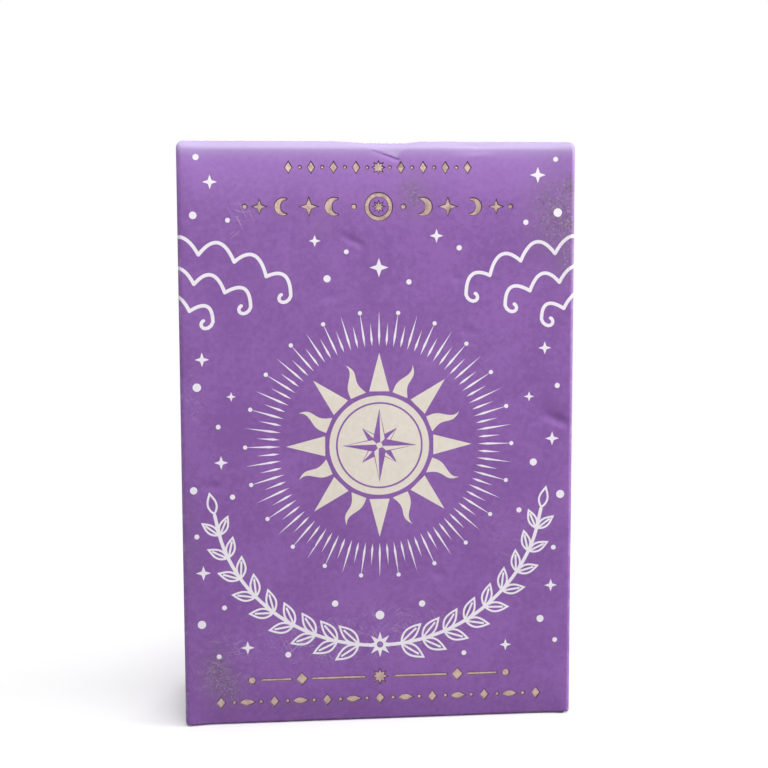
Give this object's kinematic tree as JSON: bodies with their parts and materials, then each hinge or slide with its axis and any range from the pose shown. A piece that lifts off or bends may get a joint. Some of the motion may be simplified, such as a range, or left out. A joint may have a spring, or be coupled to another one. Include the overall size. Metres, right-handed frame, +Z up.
{
  "type": "tarot card deck",
  "caption": "Deck of tarot cards in an upright folding carton with a tuck lid, dust flaps and a glued bottom.",
  "frame": {"origin": "on the surface that the carton stands on, under the middle of its width and depth", "axes": "+Z up toward the lid, printed front toward -Y, carton's width along X"},
  "size_m": [0.066, 0.028, 0.098],
  "materials": {
    "laminated_board": "soft-touch laminate",
    "plain_board": "uncoated",
    "card_stock": "satin coated"
  },
  "bodies": {
    "carton": {"front_panel": "laminated_board", "back_panel": "laminated_board", "left_panel": "laminated_board", "right_panel": "laminated_board", "bottom_outer_panel": "laminated_board", "glue_flap": "plain_board", "bottom_inner_panel": "plain_board", "bottom_flap_left": "plain_board", "bottom_flap_right": "plain_board"},
    "lid": {"lid_panel": "laminated_board"},
    "tuck": {"tuck_flap": "laminated_board"},
    "flap_left": {"dust_flap_left": "laminated_board"},
    "flap_right": {"dust_flap_right": "laminated_board"},
    "deck": {"guide_card_1": "card_stock", "guide_card_2": "card_stock", "major_card_00": "card_stock", "major_card_01": "card_stock", "major_card_02": "card_stock", "major_card_03": "card_stock", "major_card_04": "card_stock", "major_card_05": "card_stock", "major_card_06": "card_stock", "major_card_07": "card_stock", "major_card_08": "card_stock", "major_card_09": "card_stock", "major_card_10": "card_stock", "major_card_11": "card_stock", "major_card_12": "card_stock", "major_card_13": "card_stock", "major_card_14": "card_stock", "major_card_15": "card_stock", "major_card_16": "card_stock", "major_card_17": "card_stock", "major_card_18": "card_stock", "major_card_19": "card_stock", "major_card_20": "card_stock", "major_card_21": "card_stock", "wands_pip_cards": "card_stock", "wands_court_cards": "card_stock", "cups_pip_cards": "card_stock", "cups_court_cards": "card_stock", "swords_pip_cards": "card_stock", "swords_court_cards": "card_stock", "coins_pip_cards": "card_stock", "coins_court_cards": "card_stock"}
  },
  "joints": [
    {"name": "lid_hinge", "type": "hinge", "parent": "carton", "child": "lid", "pos_m": [0, -0.01375, 0.09775], "axis": [1, 0, 0], "range_deg": [0, 140]},
    {"name": "tuck_fold", "type": "hinge", "parent": "lid", "child": "tuck", "pos_m": [0, 0.0126, 0.0975], "axis": [1, 0, 0], "range_deg": [-42, 0]},
    {"name": "flap_left_hinge", "type": "hinge", "parent": "carton", "child": "flap_left", "pos_m": [-0.03275, 0, 0.0971], "axis": [0, -1, 0], "range_deg": [0, 84]},
    {"name": "flap_right_hinge", "type": "hinge", "parent": "carton", "child": "flap_right", "pos_m": [0.03275, 0, 0.0971], "axis": [0, 1, 0], "range_deg": [0, 84]},
    {"name": "deck_slide", "type": "slide", "parent": "carton", "child": "deck", "axis": [0, 0, 1], "range_m": [0, 0.0022]}
  ],
  "couplings": [
    {"joint": "tuck_fold", "follows": "lid_hinge", "ratio": -0.3},
    {"joint": "flap_left_hinge", "follows": "lid_hinge", "ratio": 0.6},
    {"joint": "flap_right_hinge", "follows": "lid_hinge", "ratio": 0.6}
  ]
}
